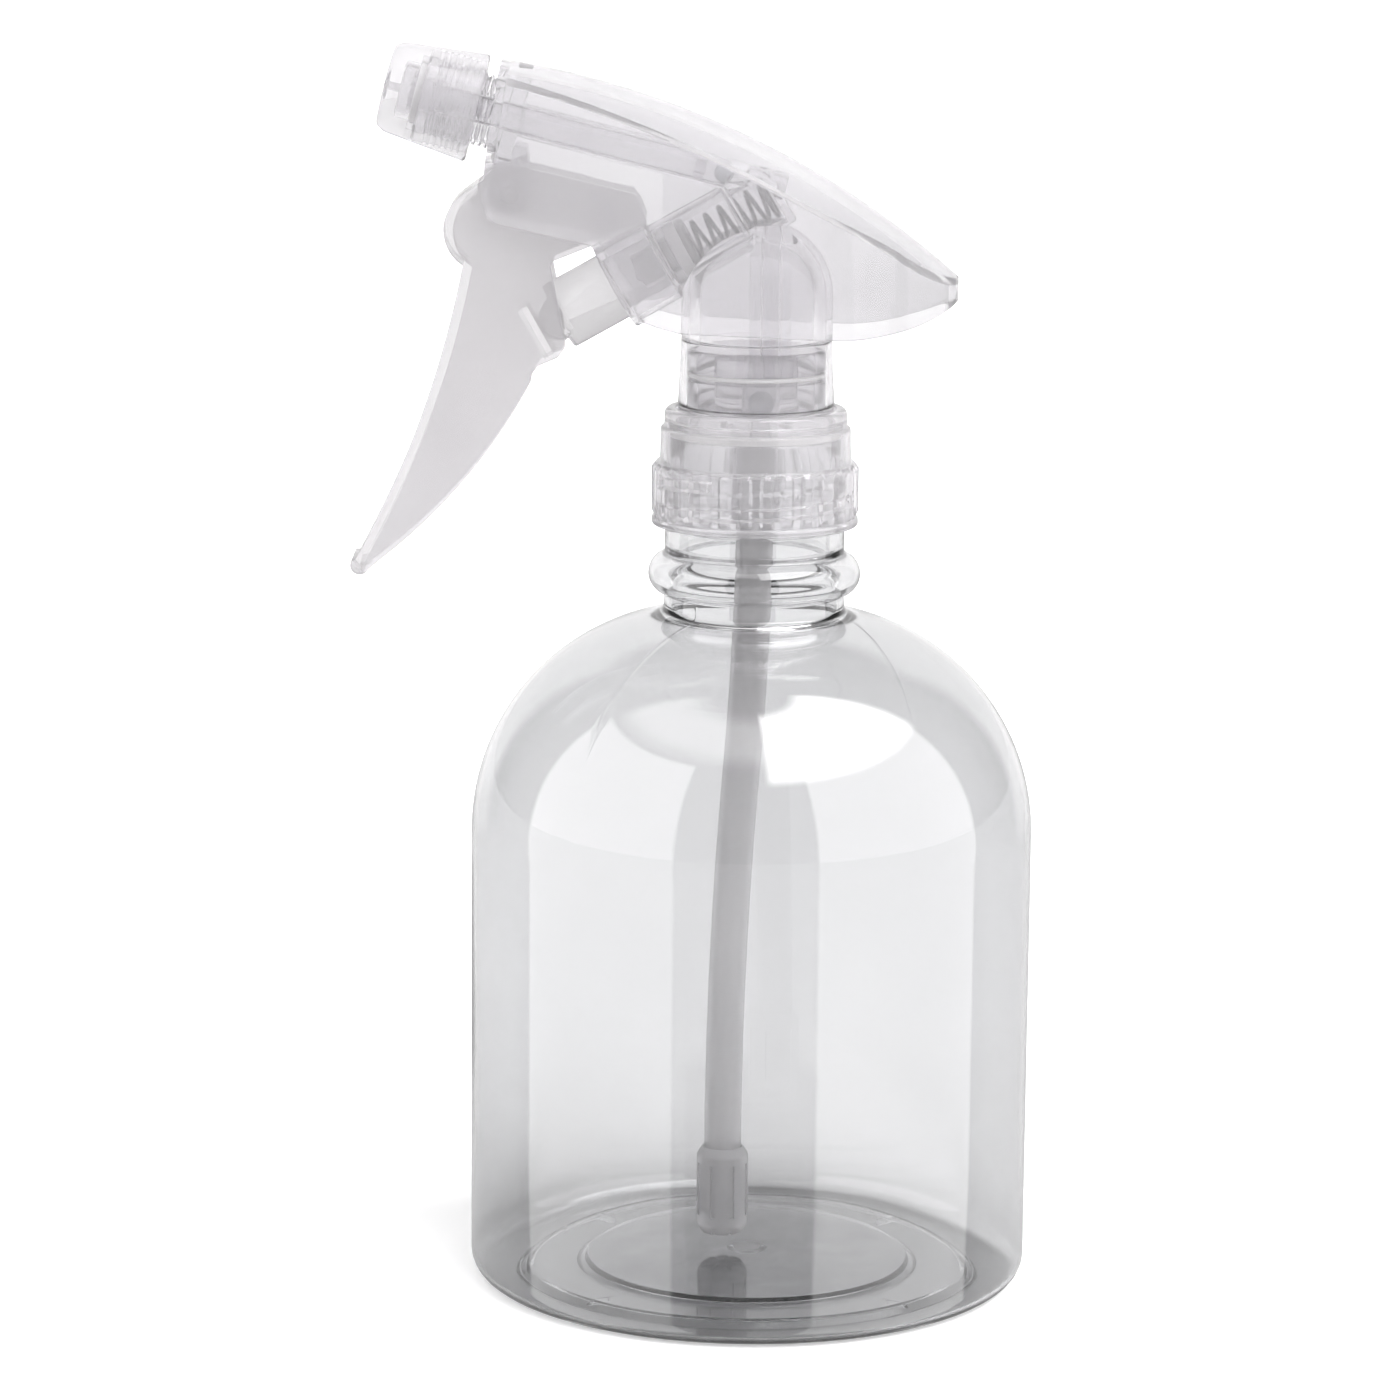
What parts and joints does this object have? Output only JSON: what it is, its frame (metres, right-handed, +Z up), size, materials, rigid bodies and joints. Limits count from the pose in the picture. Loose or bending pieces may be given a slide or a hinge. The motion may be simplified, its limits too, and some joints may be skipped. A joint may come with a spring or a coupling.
{
  "type": "hand mister",
  "caption": "Clear round spray bottle with a domed shoulder and a translucent screw-on trigger sprayer, with an adjustable nozzle and a dip tube.",
  "frame": {"origin": "centre of the circle that the bottle stands on", "axes": "+Z up; the spray leaves towards -X; the spray head is symmetric about y = 0"},
  "size_m": [0.1018, 0.084, 0.1855],
  "materials": {
    "clear_pet": "clear, glossy, blow moulded",
    "natural_pp": "natural milky translucent polypropylene, satin gloss",
    "natural_pe": "natural milky translucent polyethylene",
    "soft_seal": "soft white sealing elastomer",
    "spring_steel": "drawn stainless wire",
    "valve_ball": "polished glass ball"
  },
  "bodies": {
    "bottle": {"bottle": "clear_pet"},
    "head": {"closure_gasket": "soft_seal", "neck_connector": "natural_pp", "connector_oring": "soft_seal", "dip_tube": "natural_pe", "tube_filter": "natural_pe", "pump_body": "natural_pp", "outlet_cage": "natural_pp", "barrel_plug": "natural_pp", "spinner": "natural_pp", "return_spring": "spring_steel", "shroud": "natural_pp"},
    "nut": {"closure_nut": "natural_pp"},
    "trigger": {"trigger": "natural_pp"},
    "piston": {"piston": "natural_pp", "piston_cup": "soft_seal", "vent_cup": "soft_seal"},
    "inlet_valve": {"inlet_ball": "valve_ball"},
    "outlet_valve": {"outlet_ball": "valve_ball"},
    "nozzle_seal": {"nozzle_gasket": "soft_seal"},
    "nozzle": {"nozzle_cap": "natural_pp"}
  },
  "joints": [
    {"name": "head_lift", "type": "slide", "parent": "bottle", "child": "head", "axis": [0, 0, 1], "range_m": [0, 0.00528]},
    {"name": "nut_turn", "type": "hinge", "parent": "head", "child": "nut", "pos_m": [0, 0, 0.12], "axis": [0, 0, 1], "range_deg": [0, 450]},
    {"name": "trigger_pull", "type": "hinge", "parent": "head", "child": "trigger", "pos_m": [-0.0364, 0, 0.1638], "axis": [0, -1, 0], "range_deg": [0, 20.4], "stiffness_Nm_per_rad": 0.24, "springref_deg": -14.32},
    {"name": "piston_slide", "type": "slide", "parent": "head", "child": "piston", "axis": [0.8704, 0, 0.4924], "range_m": [0, 0.0071], "deforming": ["return_spring"]},
    {"name": "nozzle_travel", "type": "slide", "parent": "head", "child": "nozzle_seal", "axis": [-0.9703, 0, 0.2419], "range_m": [-0.0009, 0.0009]},
    {"name": "nozzle_turn", "type": "hinge", "parent": "nozzle_seal", "child": "nozzle", "pos_m": [-0.0412, 0, 0.1759], "axis": [-0.9703, 0, 0.2419], "range_deg": [-360, 360]},
    {"name": "inlet_ball_lift", "type": "slide", "parent": "head", "child": "inlet_valve", "axis": [0, 0, 1], "range_m": [0, 0.0014]},
    {"name": "outlet_ball_lift", "type": "slide", "parent": "head", "child": "outlet_valve", "axis": [-0.9703, 0, 0.2419], "range_m": [0, 0.0011]}
  ],
  "couplings": [
    {"joint": "nut_turn", "follows": "head_lift", "rad_per_m": 1485.4},
    {"joint": "piston_slide", "follows": "trigger_pull", "m_per_rad": 0.0199},
    {"joint": "nozzle_turn", "follows": "nozzle_travel", "rad_per_m": 6981.3}
  ]
}
